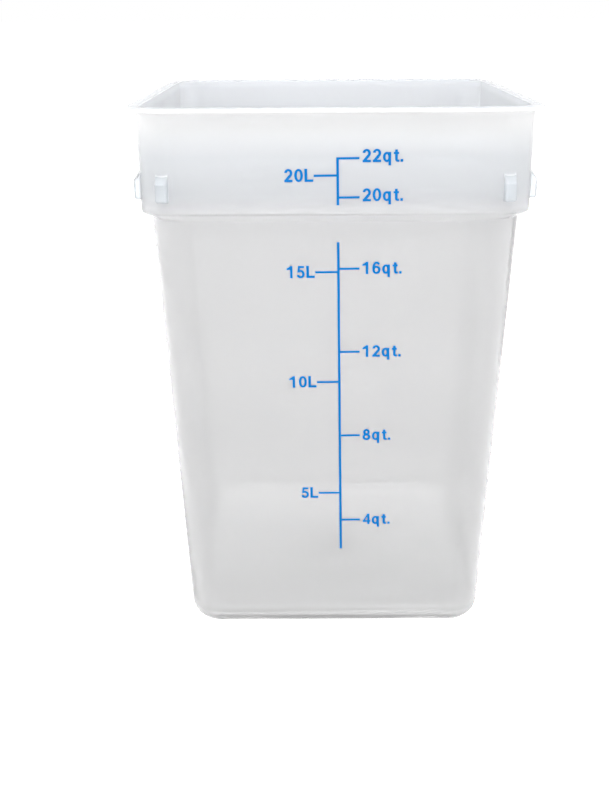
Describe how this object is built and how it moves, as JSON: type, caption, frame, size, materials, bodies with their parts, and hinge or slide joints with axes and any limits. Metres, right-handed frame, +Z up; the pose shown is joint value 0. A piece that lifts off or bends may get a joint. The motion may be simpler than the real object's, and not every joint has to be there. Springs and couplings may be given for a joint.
{
  "type": "dough proofing container",
  "caption": "Open square tub in see-through plastic with drafted walls, a stepped collar, a flat rim and a printed scale of volumes.",
  "frame": {"origin": "middle of the foot, on the surface that the tub stands on", "axes": "+Z up through the open mouth, the printed wall faces -Y, +X to the right of the print"},
  "size_m": [0.286, 0.286, 0.405],
  "materials": {
    "clear_plastic": "satin",
    "blue_ink": "matte"
  },
  "bodies": {
    "root": {"tub": "clear_plastic", "lower_scale_print": "blue_ink", "upper_scale_print": "blue_ink"}
  },
  "joints": []
}
